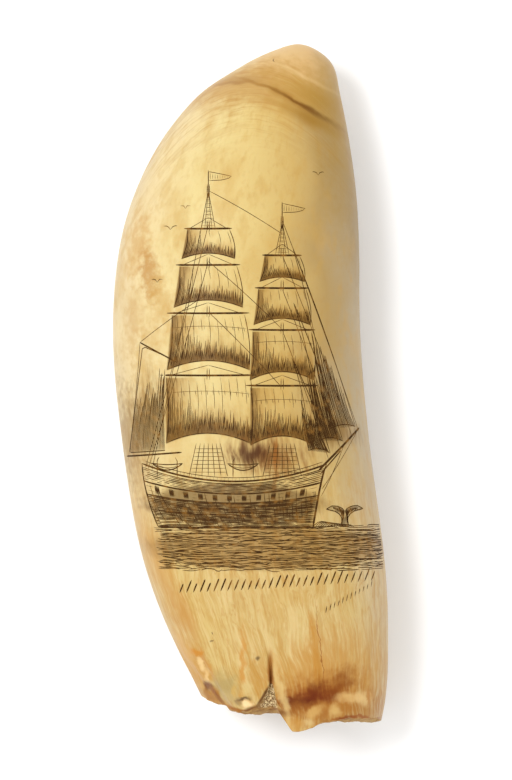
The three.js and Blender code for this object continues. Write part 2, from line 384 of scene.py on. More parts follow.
def stain(under, at, reach, tint, share=1.0, turn=0.0, soft=0.5, ragged=0.6, torn_by=mottle,
          drawn_at=stain_place):
    """Lays a stain of one tint over the colour so far. Reach is half its size each way, turn in degrees."""
    shape = put(tree, "Group", node_tree=stain_shape, inputs={
        "Place": drawn_at, "Middle": (*at, 0), "Reach": (*reach, 1), "Turn": math.radians(turn),
        "Softness": soft, "Raggedness": ragged, "Breakup": torn_by,
    })
    return mix(tree, calculate(tree, "MULTIPLY", shape.outputs["Share"], share), under, linear(*tint))


def stains(under, rows, **how):
    """Lays several stains, each given by its place, reach, tint, share and turn."""
    for at, reach, tint, share, turn in rows:
        under = stain(under, at, reach, tint, share, turn, **how)
    return under


# The tip: a peach-coloured cap, honey below it, and a dark crease where they meet. Fine growth lines follow
# the crease, which droops towards the right.
droop = calculate(tree, "MULTIPLY_ADD", calculate(tree, "MULTIPLY", x_place, x_place), 0.03, y_place)
droop_place = put(tree, "CombineXYZ", {0: x_place, 1: droop, 2: 0}).outputs[0]
droop_place = wander(tree, droop_place, 7, (0, 1.6, 0))
growth = cloud(tree, droop_place, 0.4, detail=4, stretch=(16, 1, 1))
growth_bands = cloud(tree, droop_place, 1.8, detail=5, stretch=(5, 1, 1))
near_tip = calculate(tree, "MULTIPLY", ramp_between(tree, droop, 48, 66), ramp_between(tree, droop, 75, 70))
near_tip = calculate(tree, "MULTIPLY", near_tip, ramp_between(tree, z_place, 12, 24))
growth_torn = calculate(tree, "SUBTRACT", growth, 0.5)
colour = stain(colour, (11.5, 71.5), (13, 7.5), (198, 162, 110), 0.8, soft=0.4)
colour = stain(colour, (18.4, 66), (3.4, 8), (162, 134, 84), 0.75, turn=12, soft=0.9)
colour = stain(colour, (-2, 66.2), (15, 4.6), (174, 136, 76), 0.85, turn=4, soft=0.7, ragged=1.2)
colour = stain(colour, (12.5, 63.6), (9.5, 4.2), (172, 134, 64), 0.75, turn=-30, soft=0.7, ragged=1.2)
colour = lined(colour, near_tip, (
    (0.4, growth_bands, 0.48, 0.68, (168, 126, 58)), (0.34, growth, 0.5, 0.68, (158, 110, 48)),
    (0.2, growth, 0.46, 0.32, (208, 180, 122)),
))
colour = stains(colour, [
    ((12.3, 67.8), (7.5, 0.4), (210, 180, 128), 0.35, -26),
    ((-3.0, 67.3), (4.6, 0.8), (158, 118, 62), 0.6, 3),
    ((-4.3, 66.6), (4.4, 0.3), (142, 100, 46), 0.55, 4),
    ((2.6, 66.0), (4.4, 0.35), (142, 98, 34), 0.65, -20),
    ((7.4, 63.7), (4.6, 0.9), (150, 106, 36), 0.6, -28),
    ((9.6, 62.5), (5.0, 0.35), (112, 70, 10), 0.85, -29),
    ((14.6, 63.2), (5.4, 2.0), (156, 116, 40), 0.65, -28),
    ((14.0, 58.2), (6.0, 1.5), (140, 98, 20), 0.8, -25),
    ((14.7, 59.6), (5.0, 0.55), (100, 58, 4), 0.9, -29),
    ((5.0, 62.2), (3.8, 0.5), (160, 118, 48), 0.45, -20),
], soft=0.9, ragged=1.0, torn_by=growth_torn, drawn_at=near_place)

# Veins and clouds of brown in the crown.
colour = stain(colour, (20.0, 48), (4.2, 16), (148, 116, 50), 0.7, turn=10, soft=0.9)
colour = stain(colour, (24.6, 36), (2.4, 20), (136, 112, 72), 0.5, turn=3, soft=0.8)
colour = stains(colour, [
    ((-24.6, 31), (2.4, 6), (180, 138, 74), 0.6, -10), ((-22.2, 24.6), (1.6, 4.5), (166, 118, 56), 0.7, 6),
    ((-19.6, 18), (2.0, 6), (178, 138, 70), 0.55, 12), ((-25.8, 14), (1.6, 6), (176, 138, 80), 0.5, -6),
    ((-14.6, 12), (1.8, 7), (184, 144, 74), 0.45, 8), ((-23.6, 3), (1.8, 7), (178, 142, 78), 0.5, 0),
    ((-27.0, -11), (2.6, 9), (146, 118, 74), 0.75, 6), ((-24.6, -20), (1.6, 8), (166, 132, 80), 0.5, 12),
    ((-17.5, -4), (1.8, 8), (184, 146, 80), 0.4, 6),
], soft=0.8, ragged=3.0)

# The root: orange edges, the red-brown stain on the right wall, and the pale patches near its rim.
colour = stains(colour, [
    ((-20.2, -40), (2.2, 12), (180, 134, 64), 0.65, 22),
    ((-14.5, -50.5), (1.6, 6), (176, 126, 58), 0.6, 24),
    ((16.5, -64.5), (11.5, 7.0), (174, 122, 46), 0.75, 0), ((17, -71), (11.5, 3.6), (152, 96, 30), 0.8, 0),
    ((19.5, -57), (6.0, 5.0), (178, 136, 74), 0.5, 10), ((14.4, -59), (0.9, 8), (174, 122, 46), 0.75, 4),
    ((-1.7, -60.5), (0.7, 7), (180, 124, 44), 0.75, 0),
    ((0.9, -63.4), (1.0, 4.2), (170, 122, 44), 0.65, 14),
], soft=0.8, ragged=2.4, torn_by=streaky)
smoky = calculate(tree, "MULTIPLY_ADD", streaky, 0.5, mottle)
colour = stains(colour, [
    ((14.6, -67.2), (8.0, 3.4), (150, 90, 20), 0.8, 12),
    ((12.6, -68.4), (5.6, 2.0), (122, 54, 6), 0.85, 8), ((11.4, -68.9), (4.0, 1.3), (86, 24, 0), 0.9, 6),
    ((14.6, -66.8), (2.2, 1.8), (100, 38, 2), 0.8, 30),
    ((17.2, -68.2), (1.8, 1.1), (106, 42, 4), 0.75, 10),
    ((19.6, -65.4), (3.0, 1.8), (122, 62, 8), 0.8, 48),
    ((10.2, -70.6), (2.2, 1.4), (138, 82, 24), 0.7, 60),
    ((18.0, -70.4), (5.0, 1.0), (158, 104, 38), 0.6, 0),
], soft=0.9, ragged=1.5, torn_by=smoky)
colour = stains(colour, [
    ((22.6, -68.3), (3.4, 0.9), (200, 162, 100), 0.75, 2),
    ((24.6, -68.8), (1.3, 1.5), (206, 174, 118), 0.6, 0),
    ((18.4, -71.2), (1.5, 1.3), (196, 162, 98), 0.75, 10),
    ((13.8, -71.5), (1.8, 1.0), (192, 154, 88), 0.75, 25),
    ((12.4, -73.8), (1.4, 0.8), (196, 168, 112), 0.7, 10),
    ((15.8, -72.2), (0.8, 1.4), (150, 96, 36), 0.7, 0),
    ((25.6, -68.4), (0.35, 1.5), (166, 112, 50), 0.8, 0),
    ((9.6, -74.6), (2.2, 1.6), (176, 122, 44), 0.6, -20),
    ((17.4, -73.4), (3.0, 0.35), (150, 92, 38), 0.8, 10),
    ((20.9, -73.2), (2.2, 0.6), (120, 58, 18), 0.9, 2),
    ((25.4, -73.3), (3.6, 0.4), (142, 80, 36), 0.85, -4),
    ((19.0, -74.6), (3.4, 0.8), (136, 106, 50), 0.8, -14),
    ((25.0, -74.4), (3.6, 0.5), (168, 150, 104), 0.7, -2),
], soft=0.7, ragged=1.2)
colour = stain(colour, (15.5, -58.6), (0.11, 9), (132, 76, 18), 0.8, turn=4, soft=0.6, ragged=0.8)
# A pale line down the edge of the cleft's right wall: its pale golden colour, with a painted highlight along
# the edge.
colour = stain(colour, (6.9, -67.5), (0.8, 9.6), (198, 168, 108), 0.7, turn=15, soft=0.7, ragged=0.8)

# The lobe: a grey-green flank, a painted highlight on its knob under a dark crescent, and brown all round its
# edge. On its left are the ridge, with painted highlights along it, and a brown hollow.
colour = stains(colour, [
    ((-5.6, -65.8), (3.0, 2.9), (150, 128, 76), 0.7, 30),
    ((-4.4, -68.6), (2.2, 1.4), (172, 148, 98), 0.6, -30),
    ((-1.0, -66.3), (0.9, 1.8), (194, 170, 112), 0.75, 4),
    ((-3.4, -66.6), (0.5, 1.8), (186, 148, 74), 0.6, 0),
    ((-1.5, -68.9), (1.3, 0.4), (92, 68, 40), 0.85, 12),
    # A painted highlight: the pale spot on the lobe's knob.
    ((-0.9, -69.9), (1.15, 0.65), (226, 196, 144), 0.9, 14),
    ((-2.6, -69.3), (0.6, 0.9), (120, 92, 58), 0.6, 0),
    ((-9.9, -60.6), (0.6, 3.6), (178, 122, 44), 0.7, 24),
    ((-12.6, -62.4), (3.0, 6.4), (178, 128, 48), 0.8, 27),
    ((-11.9, -58.7), (1.4, 0.7), (184, 118, 26), 0.8, -20),
    ((-14.6, -58.4), (1.0, 5.0), (196, 152, 84), 0.5, 25),
    ((-6.8, -69.6), (3.4, 1.3), (166, 110, 40), 0.75, -36),
    # Painted highlights: two pale spots along the ridge left of the lobe.
    ((-11.1, -61.1), (0.6, 1.5), (216, 184, 126), 0.8, 26),
    ((-9.6, -63.9), (0.5, 1.2), (212, 178, 120), 0.75, 24),
    ((-9.4, -66.1), (1.0, 1.2), (100, 50, 10), 0.9, 20),
    ((-7.9, -67.7), (1.1, 1.6), (150, 98, 12), 0.85, 38),
    ((-9.7, -68.2), (1.8, 0.6), (146, 98, 40), 0.75, -34),
], soft=0.6, ragged=1.2)
colour = stains(colour, [
    ((-7.0, -68.6), (0.4, 3.2), (124, 66, 10), 0.85, 38),
    ((-3.2, -71.1), (2.8, 0.5), (140, 80, 14), 0.9, -14), ((0.4, -70.9), (2.2, 0.6), (92, 40, 4), 0.9, 20),
    ((2.0, -69.4), (0.4, 1.5), (82, 38, 4), 0.9, -28), ((3.1, -67.4), (0.32, 2.1), (80, 40, 6), 0.85, -27),
    ((4.25, -61.2), (0.6, 2.9), (142, 88, 26), 0.9, 0), ((4.5, -64.0), (0.6, 1.8), (128, 72, 20), 0.9, 6),
    ((5.4, -70.8), (0.45, 1.6), (130, 76, 20), 0.85, 28),
    ((4.2, -71.5), (3.6, 0.9), (104, 52, 8), 0.9, -4),
], soft=0.6, ragged=0.6, drawn_at=place)

# A few pits.
for at, reach, turn in (((-8.2, -54.3), (0.2, 0.28), 0), ((-8.5, -56.2), (0.42, 0.18), 35),
                        ((1.25, -59.5), (0.28, 0.5), -20), ((5.4, 71.8), (0.16, 0.16), 0)):
    colour = stain(colour, at, reach, (92, 70, 42), 0.8, turn, soft=0.7, ragged=1.2)

# The sails that the ship carries, as she sails to the right. Their shaded feet are washed with brown, and the
# scratches follow below. Each is given by its yard and foot, and half its width there.
SAILS = [
    {"x": -9.2, "head": 34.0, "foot": 27.6, "head_half": 4.6, "foot_half": 5.8, "arch": 1.2, "reefs": False},
    {"x": -9.2, "head": 26.0, "foot": 17.0, "head_half": 6.2, "foot_half": 7.5, "arch": 1.6, "reefs": False},
    {"x": -9.2, "head": 15.4, "foot": 3.4, "head_half": 7.9, "foot_half": 9.0, "arch": 2.0, "reefs": True},
    {"x": -9.2, "head": 1.8, "foot": -12.6, "head_half": 9.2, "foot_half": 9.2, "arch": 2.2, "reefs": True},
    {"x": 6.9, "head": 28.2, "foot": 22.6, "head_half": 3.8, "foot_half": 4.9, "arch": 1.0, "reefs": False},
    {"x": 6.9, "head": 21.0, "foot": 13.2, "head_half": 5.2, "foot_half": 6.2, "arch": 1.4, "reefs": False},
    {"x": 6.9, "head": 11.8, "foot": 1.2, "head_half": 6.4, "foot_half": 7.0, "arch": 1.8, "reefs": True},
    {"x": 6.9, "head": -0.4, "foot": -13.0, "head_half": 6.9, "foot_half": 6.9, "arch": 2.0, "reefs": True},
]
JIBS = [
    ((9.2, 30.0), (23.0, -9.0), (17.2, -9.6)),
    ((9.4, 18.0), (20.2, -12.2), (15.0, -12.0)),
    ((9.0, 6.0), (17.4, -14.8), (12.6, -14.2)),
]
GAFF_SAIL = [(-18.6, 6.4), (-23.6, 8.6), (-26.6, -14.8), (-18.6, -14.2)]
sail_wash, given, result = shader_group(
    "sail wash",
    [("Vector", "Place"), ("Float", "Middle"), ("Float", "Foot"), ("Float", "Height"), ("Float", "Foot half"),
     ("Float", "Head half"), ("Float", "Arch"), ("Float", "Breakup")],
    [("Float", "Golden"), ("Float", "Brown")],
)
wash_x, wash_y, wash_z = put(sail_wash, "SeparateXYZ", {0: given.outputs["Place"]}).outputs
from_middle = calculate(sail_wash, "SUBTRACT", wash_x, given.outputs["Middle"])
from_foot = calculate(sail_wash, "SUBTRACT", wash_y, given.outputs["Foot"])
rough_up = calculate(sail_wash, "DIVIDE", from_foot, given.outputs["Height"])
narrowing = calculate(sail_wash, "SUBTRACT", given.outputs["Head half"], given.outputs["Foot half"])
half = calculate(sail_wash, "MULTIPLY_ADD", narrowing, rough_up, given.outputs["Foot half"])
over = calculate(sail_wash, "DIVIDE", from_middle, half)
flat_arch = calculate(sail_wash, "MULTIPLY_ADD", calculate(sail_wash, "MULTIPLY", over, over), -1, 1)
arch = calculate(sail_wash, "MULTIPLY", flat_arch, given.outputs["Arch"])
up = calculate(sail_wash, "DIVIDE", calculate(sail_wash, "SUBTRACT", from_foot, arch),
               calculate(sail_wash, "SUBTRACT", given.outputs["Height"], arch))
aside = calculate(sail_wash, "ABSOLUTE", over)
within = calculate(sail_wash, "MULTIPLY", ramp_between(sail_wash, aside, 1.03, 0.97),
                   ramp_between(sail_wash, up, -0.03, 0.02))
within = calculate(sail_wash, "MULTIPLY", within, ramp_between(sail_wash, up, 1.01, 0.97))
within = calculate(sail_wash, "MULTIPLY", within, ramp_between(sail_wash, wash_z, 9, 17))
torn_up = calculate(sail_wash, "MULTIPLY_ADD", given.outputs["Breakup"], 0.5, up)
torn_over = calculate(sail_wash, "MULTIPLY_ADD", given.outputs["Breakup"], 0.6, over)
for label, foot_end, lee_end in (("Golden", 0.66, 0.0), ("Brown", 0.36, -0.62)):
    foot_shade = ramp_between(sail_wash, torn_up, foot_end, 0.04)
    lee_shade = calculate(sail_wash, "MULTIPLY", ramp_between(sail_wash, torn_over, lee_end, -1.0), 0.85)
    shade = calculate(sail_wash, "MAXIMUM", foot_shade, lee_shade)
    sail_wash.links.new(calculate(sail_wash, "MULTIPLY", shade, within), result.inputs[label])
for sail in SAILS:
    washed = put(tree, "Group", node_tree=sail_wash, inputs={
        "Place": place, "Middle": sail["x"], "Foot": sail["foot"], "Height": sail["head"] - sail["foot"],
        "Foot half": sail["foot_half"], "Head half": sail["head_half"], "Arch": sail["arch"],
        "Breakup": streaky,
    })
    golden = calculate(tree, "MULTIPLY", washed.outputs["Golden"], 0.8)
    colour = mix(tree, golden, colour, linear(150, 108, 34))
    brown = calculate(tree, "MULTIPLY", washed.outputs["Brown"], 0.7)
    colour = mix(tree, brown, colour, linear(84, 52, 8))
colour = stains(colour, [
    ((-22.8, -7), (3.2, 7.5), (128, 90, 28), 0.7, -8), ((17.2, -10.2), (5.4, 2.4), (108, 72, 16), 0.7, -8),
    ((13.8, -3), (1.9, 8), (136, 98, 40), 0.45, 18), ((3.6, -15.4), (7.0, 3.4), (116, 64, 0), 0.85, -6),
    ((0.6, -15), (3.6, 2.2), (66, 30, 0), 0.85, 10), ((5.4, -19), (0.5, 10), (140, 84, 22), 0.6, 0),
], soft=0.8, ragged=2.0, torn_by=streaky)

# Brown was washed over the sea and the hull too.
for at, reach, tint, share in (((3.6, -35.4), (26.0, 4.8), (132, 94, 38), 0.68),
                               ((-3.6, -25.8), (19.2, 4.4), (92, 62, 22), 0.68)):
    colour = stain(colour, at, reach, tint, share, soft=0.16, ragged=0.3, drawn_at=place)

# The grit in the cleft, the torn lip, and the hollow are bare, with no polish. The grit and the lip are
# stained, and the hollow darkens from its mouth inward.
grains = ramp_between(tree, cloud(tree, place, 0.42, detail=4), 0.42, 0.58)
grit_colour = mix(tree, grains, linear(118, 86, 48), linear(222, 198, 150))
colour = mix(tree, in_grit, colour, grit_colour)
torn_colour = mix(tree, ramp_between(tree, cloud(tree, place, 1.3, detail=6), 0.36, 0.72),
                  linear(176, 140, 82), linear(130, 90, 42))
colour = mix(tree, calculate(tree, "MULTIPLY", on_lip, 0.8), colour, torn_colour)
deep = ramp_between(tree, along, -72, -40)
hollow_colour = mix(tree, deep, linear(158, 118, 62), linear(88, 56, 28))
hollow_colour = mix(tree, calculate(tree, "MULTIPLY", bands, 0.5), hollow_colour, linear(84, 54, 24))
colour = mix(tree, in_hollow, colour, hollow_colour)
tree.links.new(colour, shader.inputs["Base Color"])

bare = calculate(tree, "MAXIMUM", calculate(tree, "MAXIMUM", in_hollow, on_lip), in_grit)
satin = cloud(tree, grain_place, 5, detail=5)
gloss = put(tree, "MapRange", {"Value": satin, "To Min": 0.34, "To Max": 0.52})
roughness = calculate(tree, "MULTIPLY_ADD", bare, 0.3, gloss.outputs["Result"])
tree.links.new(roughness, shader.inputs["Roughness"])
shader.inputs["IOR"].default_value = 1.54
shader.inputs["Specular IOR Level"].default_value = 0.15
shader.inputs["Subsurface Weight"].default_value = 0.1
shader.inputs["Subsurface Radius"].default_value = (1.0, 0.6, 0.3)
shader.inputs["Subsurface Scale"].default_value = 0.8 * MM

# Fine relief: fibres towards the root, the maker's scraping across the crown, and roughness where it is bare.
scraping = cloud(tree, grain_place, 0.7, detail=3, stretch=(14, 1, 14))
fibre_height = calculate(tree, "MULTIPLY", fibres, calculate(tree, "MULTIPLY_ADD", low_down, 1.0, 0.15))
height = calculate(tree, "MULTIPLY_ADD", scraping, 0.18, fibre_height)
height = calculate(tree, "MULTIPLY_ADD", calculate(tree, "MULTIPLY", growth, near_tip), 0.5, height)
bare_height = calculate(tree, "MULTIPLY", cloud(tree, place, 0.5), bare)
height = calculate(tree, "MULTIPLY_ADD", bare_height, 2.0, height)
bump = put(tree, "Bump", {"Height": height, "Distance": 0.1 * MM, "Strength": 0.6})
tree.links.new(bump.outputs["Normal"], shader.inputs["Normal"])

tooth_mesh.materials.clear()
tooth_mesh.materials.append(ivory)
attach(tooth, "root")
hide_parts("tooth")

# ---------------------------------------------------------------------------------------------------------
# The ship's sails, the largest part of the engraving: eight square sails on two masts, a gaff sail aft and
# three jibs. Each line was scratched with a needle and rubbed with lampblack and oil. An inked scratch is a
# thin three-sided bar, sunk in the ivory with its flat side showing.
# ---------------------------------------------------------------------------------------------------------
INK_PROUD = 0.018
SCRATCH_DEPTH = 0.1
STROKE_STEP = 0.3
LONGEST_RUN = 0.95 * MM
MOST_TURN = math.radians(3.5)
hand = np.random.default_rng(1841)
ivory_skin = BVHTree.FromPolygons(
    [Vector(row) for row in points * MM], [tuple(p.vertices) for p in tooth_mesh.polygons]
)


def on_ivory(x, y):
    """The place on the tooth, seen from above, and the way its surface faces there."""
    spot, facing, _, _ = ivory_skin.ray_cast(Vector((x * MM, y * MM, 0.1)), Vector((0, 0, -1)))
    return spot, facing


def bow(start, end, sag=0.0, wobble=0.0):
    """Points of a shallow curve from start to end. Sag is how far its middle stands off to the left."""
    start, end = np.array(start, float), np.array(end, float)
    length = np.linalg.norm(end - start)
    share = np.linspace(0, 1, max(3, round(length / STROKE_STEP) + 1))[:, None]
    normal = np.array([start[1] - end[1], end[0] - start[0]]) / max(length, 1e-6)
    swing = 4 * share * (1 - share) * sag + np.sin(share * length * 1.7 + start.sum()) * wobble
    return start + (end - start) * share + normal * swing


def join_up(*corners):
    """Points along straight lines from corner to corner."""
    return np.vstack([bow(a, b) for a, b in zip(corners, corners[1:])])


def laid_out(line):
    """Where a line drawn from above falls on the ivory, with no more points than its bends need."""
    found = [on_ivory(x, y) for x, y in line]
    found = [(spot, facing) for spot, facing in found if spot is not None and facing.z > 0.05]
    kept = found[:1]
    for pair, after in zip(found[1:], found[2:]):
        far = (after[0] - kept[-1][0]).length > LONGEST_RUN
        bent = after[1].angle(kept[-1][1]) > MOST_TURN
        if far or bent:
            kept.append(pair)
    return kept + found[-1:] if len(found) > 1 else []


def ink_bar(line, width):
    """The corners and faces of one inked scratch, thin at both ends."""
    found = laid_out(line)
    if not found:
        return [], []
    spots = [spot for spot, _ in found]
    corners = []
    for i, (spot, facing) in enumerate(found):
        run = spots[min(i + 1, len(spots) - 1)] - spots[max(i - 1, 0)]
        end = min(i, len(spots) - 1 - i)
        half = width / 2 * (0.3 if end == 0 else 1) * MM
        aside = facing.cross(run).normalized() * half
        top = spot + facing * INK_PROUD * MM
        corners += [top + aside, top - aside, spot - facing * SCRATCH_DEPTH * MM]
    last = len(corners) - 3
    faces = [(0, 1, 2), (last + 2, last + 1, last)]
    for i in range(0, last, 3):
        for side in range(3):
            near, far = i + side, i + (side + 1) % 3
            faces.append((near, near + 3, far + 3, far))
    return corners, faces


ink = bpy.data.materials.new("lampblack_ink")
ink.use_nodes = True
tree = ink.node_tree
ink_shader = tree.nodes["Principled BSDF"]
ink_place = put(tree, "VectorMath", {0: put(tree, "TexCoord", {}).outputs["Object"], 3: 1 / MM},
                operation="SCALE").outputs[0]
worn = ramp_between(tree, cloud(tree, ink_place, 1.6, detail=3), 0.45, 0.75)
tree.links.new(mix(tree, worn, linear(62, 38, 8), linear(118, 80, 30)), ink_shader.inputs["Base Color"])
ink_dullness = put(tree, "MapRange", {"Value": cloud(tree, ink_place, 0.6), "To Min": 0.55, "To Max": 0.8})
tree.links.new(ink_dullness.outputs["Result"], ink_shader.inputs["Roughness"])
ink_shader.inputs["Specular IOR Level"].default_value = 0.1


def engrave(name, strokes):
    """Makes one piece from its inked scratches, each given as (points, width)."""
    corners, faces = [], []
    for line, width in strokes:
        bar_corners, bar_faces = ink_bar(line, width)
        faces += [tuple(index + len(corners) for index in face) for face in bar_faces]
        corners += bar_corners
    mesh = bpy.data.meshes.new(name)
    mesh.from_pydata(corners, [], faces)
    mesh.materials.append(ink)
    piece = bpy.data.objects.new(name, mesh)
    bpy.context.scene.collection.objects.link(piece)
    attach(piece, "root")


def sail_spot(sail, over, up):
    """A place on a square sail: over runs from -1 to 1, and up from 0 at the foot to 1 at the yard."""
    half = sail["foot_half"] + (sail["head_half"] - sail["foot_half"]) * up
    arch = sail["arch"] * (1 - over * over)
    swell = 0.5 * np.sin(math.pi * up)
    return (sail["x"] + over * half + swell, sail["foot"] + arch + (sail["head"] - sail["foot"] - arch) * up)


def sail_line(sail, over_1, up_1, over_2, up_2, count=9):
    """Points along a line from one place on a square sail to another."""
    shares = np.linspace(0, 1, count)
    spots = [(over_1 + (over_2 - over_1) * s, up_1 + (up_2 - up_1) * s) for s in shares]
    return np.array([sail_spot(sail, *spot) for spot in spots])


sail_strokes = []
for sail in SAILS:
    wide = sail["foot_half"] + sail["head_half"]
    sail_strokes.append((sail_line(sail, -1.14, 1.03, 1.14, 1.03, 13), 0.42))
    sail_strokes.append((sail_line(sail, -1, 0, -1, 1), 0.2))
    sail_strokes.append((sail_line(sail, 1, 0, 1, 1), 0.17))
    sail_strokes.append((sail_line(sail, -1, 0, 1, 0, 15), 0.22))
    for over in np.linspace(-0.86, 0.86, round(wide / 1.9)):
        top = hand.uniform(0.9, 1.0)
        sail_strokes.append((sail_line(sail, over, top, over, hand.uniform(0.3, 0.7), 5), 0.09))
    if sail["reefs"]:
        sail_strokes.append((sail_line(sail, -1, 0.76, 1, 0.74, 11), 0.08))
        for over in np.linspace(-0.9, 0.9, round(wide / 1.3)):
            sail_strokes.append((sail_line(sail, over, 0.77, over + 0.01, 0.68, 3), 0.1))
    for over in np.linspace(-0.98, 0.98, round(wide / 0.3)):
        lee = 1 - ease(over, -1.0, 0.15)
        reach = 0.16 + 0.3 * hand.random() + 0.42 * lee * hand.uniform(0.6, 1.1)
        low = hand.uniform(0.0, 0.04)
        stroke = sail_line(sail, over, low, over + hand.normal(0, 0.008), reach, 5)
        sail_strokes.append((stroke, hand.uniform(0.1, 0.17)))
    for over in np.linspace(-0.97, 0.97, round(wide / 0.42)):
        low = hand.uniform(0.0, 0.12)
        sail_strokes.append((sail_line(sail, over, low, over, low + hand.uniform(0.08, 0.22), 3), 0.16))


def jib_strokes(head, tack, clew, lines):
    """A three-cornered sail: its stay side bulges out, and its lower edge is shaded."""
    head, tack, clew = (np.array(corner, float) for corner in (head, tack, clew))
    strokes = [(bow(tack, head, -0.5), 0.18), (bow(head, clew, 0.9), 0.15), (bow(clew, tack, 0.7), 0.2)]
    for share in np.linspace(0.03, 0.97, lines):
        low = clew + (tack - clew) * share
        long = hand.uniform(0.16, 0.34) + 0.25 * (1 - share)
        lean = head + (hand.uniform(-0.3, 0.3), 0)
        strokes.append((bow(low, low + (lean - low) * long, 0.25), hand.uniform(0.1, 0.16)))
    return strokes


for corners in JIBS:
    sail_strokes += jib_strokes(*corners, lines=30)

# The gaff sail aft, behind the main course.
BOOM = ((-27.3, -15.6), (-15, -14.6))
GAFF = ((-16, 5), (-24.2, 9.4))
sail_strokes += [(join_up(*GAFF_SAIL), 0.2), (join_up(*BOOM), 0.36), (join_up(*GAFF), 0.32)]
for share in np.linspace(0.02, 0.98, 34):
    foot = np.array(GAFF_SAIL[2]) * (1 - share) + np.array(GAFF_SAIL[3]) * share
    head = np.array(GAFF_SAIL[1]) * (1 - share) + np.array(GAFF_SAIL[0]) * share
    rise = hand.uniform(0.25, 0.55) + 0.4 * share
    sail_strokes.append((bow(foot, foot + (head - foot) * rise, 0.2), hand.uniform(0.1, 0.16)))
engrave("engraved_sails", sail_strokes)

# ---------------------------------------------------------------------------------------------------------
# Masts and rigging. The spars are close pairs of scratches with short ones across them, and each rope is a
# single straight scratch.
# ---------------------------------------------------------------------------------------------------------
MAIN_X = -9.2
FORE_X = 6.9
DECK = -19.8
rig_strokes = []
for mast_x, truck, sails in ((MAIN_X, 47.0, SAILS[:4]), (FORE_X, 40.0, SAILS[4:])):
    rig_strokes.append((join_up((mast_x, truck - 6), (mast_x, truck)), 0.2))
    tops = [DECK] + [sail["head"] for sail in reversed(sails)] + [truck - 5]
    for low, high in zip(tops, tops[1:]):
        gap = min(2.6, high - low)
        for aside in (-0.28, 0.28):
            mast_foot, mast_head = (mast_x + aside, high - gap * 0.2), (mast_x + aside * 0.8, high + 1.9)
            rig_strokes.append((join_up(mast_foot, mast_head), 0.16))
    for y in np.arange(sails[0]["head"] + 0.6, truck - 4, 0.45):
        rig_strokes.append((join_up((mast_x - 0.35, y), (mast_x + 0.35, y + 0.12)), 0.12))
    # Shrouds spread from each crosstree down to the yard below, with ratlines between them.
    royal = sails[0]["head"]
    for aside in (-1.5, -0.75, 0.75, 1.5):
        rig_strokes.append((join_up((mast_x, truck - 4.5), (mast_x + aside, royal + 0.3)), 0.12))
    for y in np.arange(royal + 0.8, truck - 5.5, 0.8):
        reach = 1.5 * (truck - 4.5 - y) / (truck - 4.5 - royal)
        rig_strokes.append((join_up((mast_x - reach, y), (mast_x + reach, y)), 0.09))
    # Each yard hangs from its mast by a lift on either side.
    for sail in sails:
        for aside in (-0.9, 0.9):
            end = sail_spot(sail, aside, 1.03)
            rig_strokes.append((join_up((mast_x, sail["head"] + 2.6), end), 0.12))
    # The lower shrouds show under the course.
    for aside in np.linspace(-4.2, 4.2, 7):
        rig_strokes.append((join_up((mast_x + aside * 0.62, -12.6), (mast_x + aside, DECK)), 0.14))
    for y in np.arange(-18.9, -13.0, 0.85):
        reach = 4.2 * (0.62 + 0.38 * (-12.6 - y) / (-12.6 - DECK))
        rig_strokes.append((join_up((mast_x - reach, y), (mast_x + reach, y)), 0.1))
for head, foot in (
    ((FORE_X, 36), (23.6, -9.6)), ((FORE_X, 28.4), (22.2, -11)), ((FORE_X, 21), (19.6, -13.6)),
    ((FORE_X, 12), (17, -16)), ((MAIN_X, 42.5), (FORE_X, 33)), ((MAIN_X, 27), (FORE_X - 0.3, 12.5)),
    ((MAIN_X, 16), (FORE_X - 0.3, -0.2)), ((MAIN_X, 42.5), (-21.6, -18.6)), ((MAIN_X, 35), (-23, -18)),
    ((MAIN_X, 27), (-22.4, -18.2)), ((-24.2, 9.4), (MAIN_X, 20)), ((-24.2, 9.4), (-26.8, -15.4)),
    ((23.6, -9.6), (15.6, -22.6)), ((20.6, -12.6), (15.4, -24.2)),
):
    rig_strokes.append((bow(head, foot, 0.25), 0.13))
rig_strokes.append((join_up((14.8, -18.6), (20, -13.4), (23.9, -9.3)), 0.5))
rig_strokes.append((join_up((15.2, -19.4), (19.8, -14.2)), 0.3))
for mast_x, truck in ((MAIN_X, 47.0), (FORE_X, 40.0)):
    fly = [(mast_x, truck - 0.3), (mast_x + 3.0, truck - 0.9), (mast_x + 5.6, truck - 1.5),
           (mast_x + 3.0, truck - 2.2), (mast_x, truck - 2.3)]
    rig_strokes.append((join_up(*fly), 0.14))
    for share in np.linspace(0.08, 0.8, 8):
        x = mast_x + 5.2 * share
        rig_strokes.append((join_up((x, truck - 0.6 - 1.0 * share), (x, truck - 2.1 + 0.45 * share)), 0.1))
engrave("engraved_rigging", rig_strokes)

# ---------------------------------------------------------------------------------------------------------
# The hull, with two boats hung over its rail. It is cut with close planking lines, over a pale strake of
# closed gun ports. All are inked scratches, as the sails are.
# ---------------------------------------------------------------------------------------------------------
WATER = -31.0


def hull_spot(back, down):
    """A place on the hull: back runs from 0 at the bow to 1 at the stern, down from 0 at the rail to 1."""
    bow_x = 16.6 - 3.0 * down ** 0.7
    stern_x = -23.8 + 3.6 * down ** 1.6
    x = bow_x + (stern_x - bow_x) * back
    rail = -20.9 + 0.0092 * (x + 3.5) ** 2
    return (x, rail + (WATER - rail) * down)


def plank(back_1, back_2, down_1, down_2=None, count=None):
    """Points along a line on the hull, level if down_2 isn't given."""
    down_2 = down_1 if down_2 is None else down_2
    count = count or max(3, round(abs(back_2 - back_1) * 40))
    shares = np.linspace(0, 1, count)
    spots = [(back_1 + (back_2 - back_1) * s, down_1 + (down_2 - down_1) * s) for s in shares]
    return np.array([hull_spot(*spot) for spot in spots])


